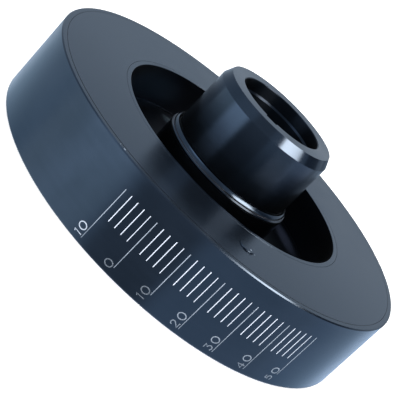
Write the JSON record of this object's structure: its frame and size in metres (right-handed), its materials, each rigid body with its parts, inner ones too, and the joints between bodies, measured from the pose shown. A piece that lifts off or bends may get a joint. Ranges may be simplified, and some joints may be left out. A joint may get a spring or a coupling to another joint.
{
  "type": "harmonic balancer",
  "caption": "Viscous crankshaft harmonic balancer: steel ring housing with a free inertia ring inside, a bolted-in keyed hub with a long snout, and a timing scale round its rim.",
  "frame": {"origin": "on the axis of rotation, in the plane of the housing's front (pulley-side) face", "axes": "+Z along the axis of rotation towards the engine end of the snout; the keyway and the zero timing mark are towards -Y"},
  "size_m": [0.1588, 0.1588, 0.0562],
  "materials": {
    "housing_finish": "satin black oxide with a blue-grey sheen",
    "cover_finish": "satin black oxide",
    "hub_finish": "ground and blackened steel, semi-gloss",
    "screw_steel": "black oxide",
    "dowel_steel": "ground",
    "plug_steel": "black oxide",
    "ring_iron": "turned",
    "bearing_plastic": "moulded"
  },
  "bodies": {
    "damper_body": {"housing": "housing_finish", "cover_plate": "cover_finish", "hub": "hub_finish", "hub_screws": "screw_steel", "hub_dowels": "dowel_steel", "fill_plugs": "plug_steel"},
    "inertia_body": {"inertia_ring": "ring_iron", "bearing_band": "bearing_plastic", "thrust_pad_front_1": "bearing_plastic", "thrust_pad_front_2": "bearing_plastic", "thrust_pad_front_3": "bearing_plastic", "thrust_pad_front_4": "bearing_plastic", "thrust_pad_front_5": "bearing_plastic", "thrust_pad_front_6": "bearing_plastic", "thrust_pad_rear_1": "bearing_plastic", "thrust_pad_rear_2": "bearing_plastic", "thrust_pad_rear_3": "bearing_plastic", "thrust_pad_rear_4": "bearing_plastic", "thrust_pad_rear_5": "bearing_plastic", "thrust_pad_rear_6": "bearing_plastic"}
  },
  "joints": [
    {"name": "inertia_spin", "type": "hinge", "parent": "damper_body", "child": "inertia_body", "pos_m": [0, 0, 0.016], "axis": [0, 0, 1], "continuous": true}
  ]
}
